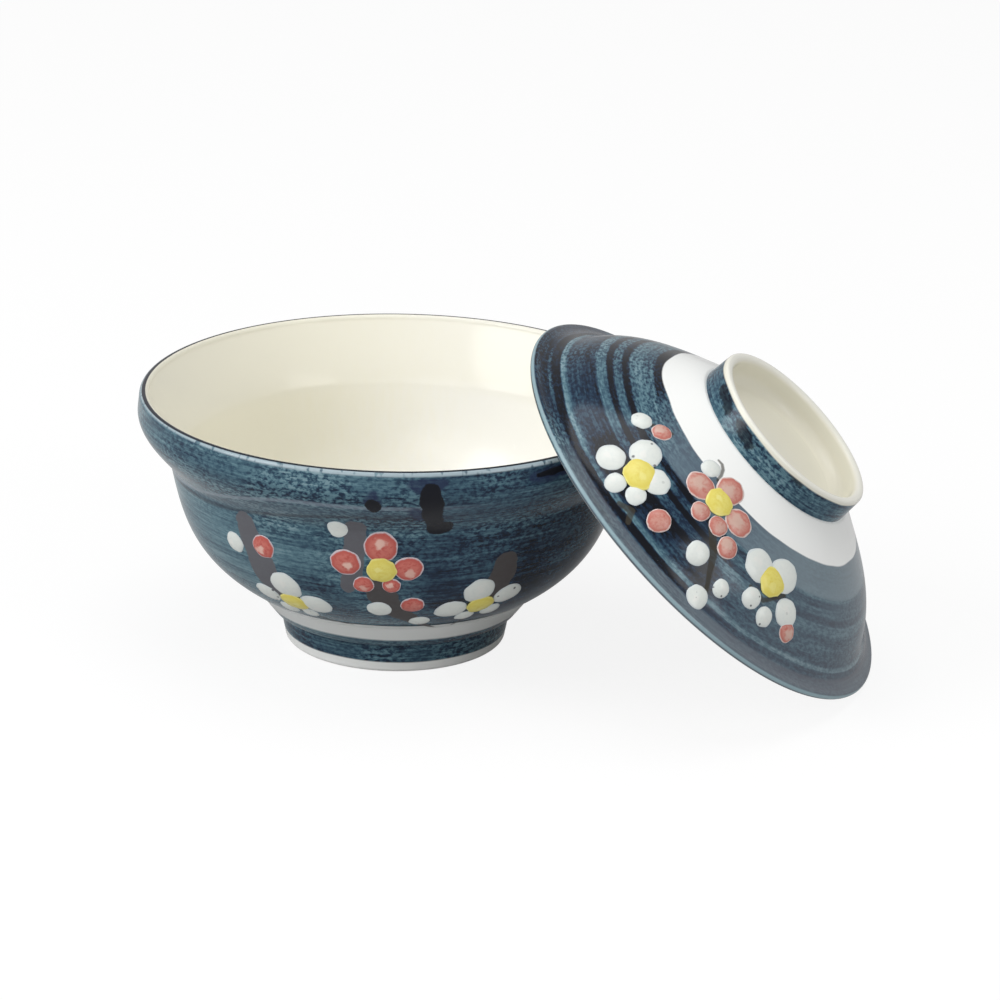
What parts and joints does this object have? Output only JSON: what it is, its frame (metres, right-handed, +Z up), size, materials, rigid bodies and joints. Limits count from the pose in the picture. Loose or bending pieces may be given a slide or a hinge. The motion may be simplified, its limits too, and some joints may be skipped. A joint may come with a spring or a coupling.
{
  "type": "donburi bowl with lid",
  "caption": "Round lidded donburi bowl of glazed stoneware on a foot ring, its domed lid with a ring grip leaning on the bowl, with raised blossom enamel.",
  "frame": {"origin": "centre of the bowl's foot ring, on the table plane", "axes": "+Z up along the bowl's axis; +X level, from the bowl's axis towards the leaning lid; +Y level, to the left of +X seen from above"},
  "size_m": [0.2285, 0.1592, 0.1003],
  "materials": {
    "blue_glaze": "gloss glaze",
    "band_glaze": "gloss glaze",
    "white_enamel": "gloss enamel",
    "red_enamel": "gloss enamel",
    "yellow_enamel": "gloss enamel"
  },
  "bodies": {
    "bowl": {"bowl_body": "blue_glaze", "foot_ring": "band_glaze", "bowl_white_petals": "white_enamel", "bowl_red_petals": "red_enamel", "bowl_yellow_centres": "yellow_enamel"},
    "lid": {"lid_body": "blue_glaze", "grip_ring": "band_glaze", "lid_white_petals": "white_enamel", "lid_red_petals": "red_enamel", "lid_yellow_centres": "yellow_enamel"}
  },
  "joints": [
    {"name": "lid_lift", "type": "slide", "parent": "bowl", "child": "lid", "axis": [0.6884, 0, 0.7254], "range_m": [0, 0.12]}
  ]
}
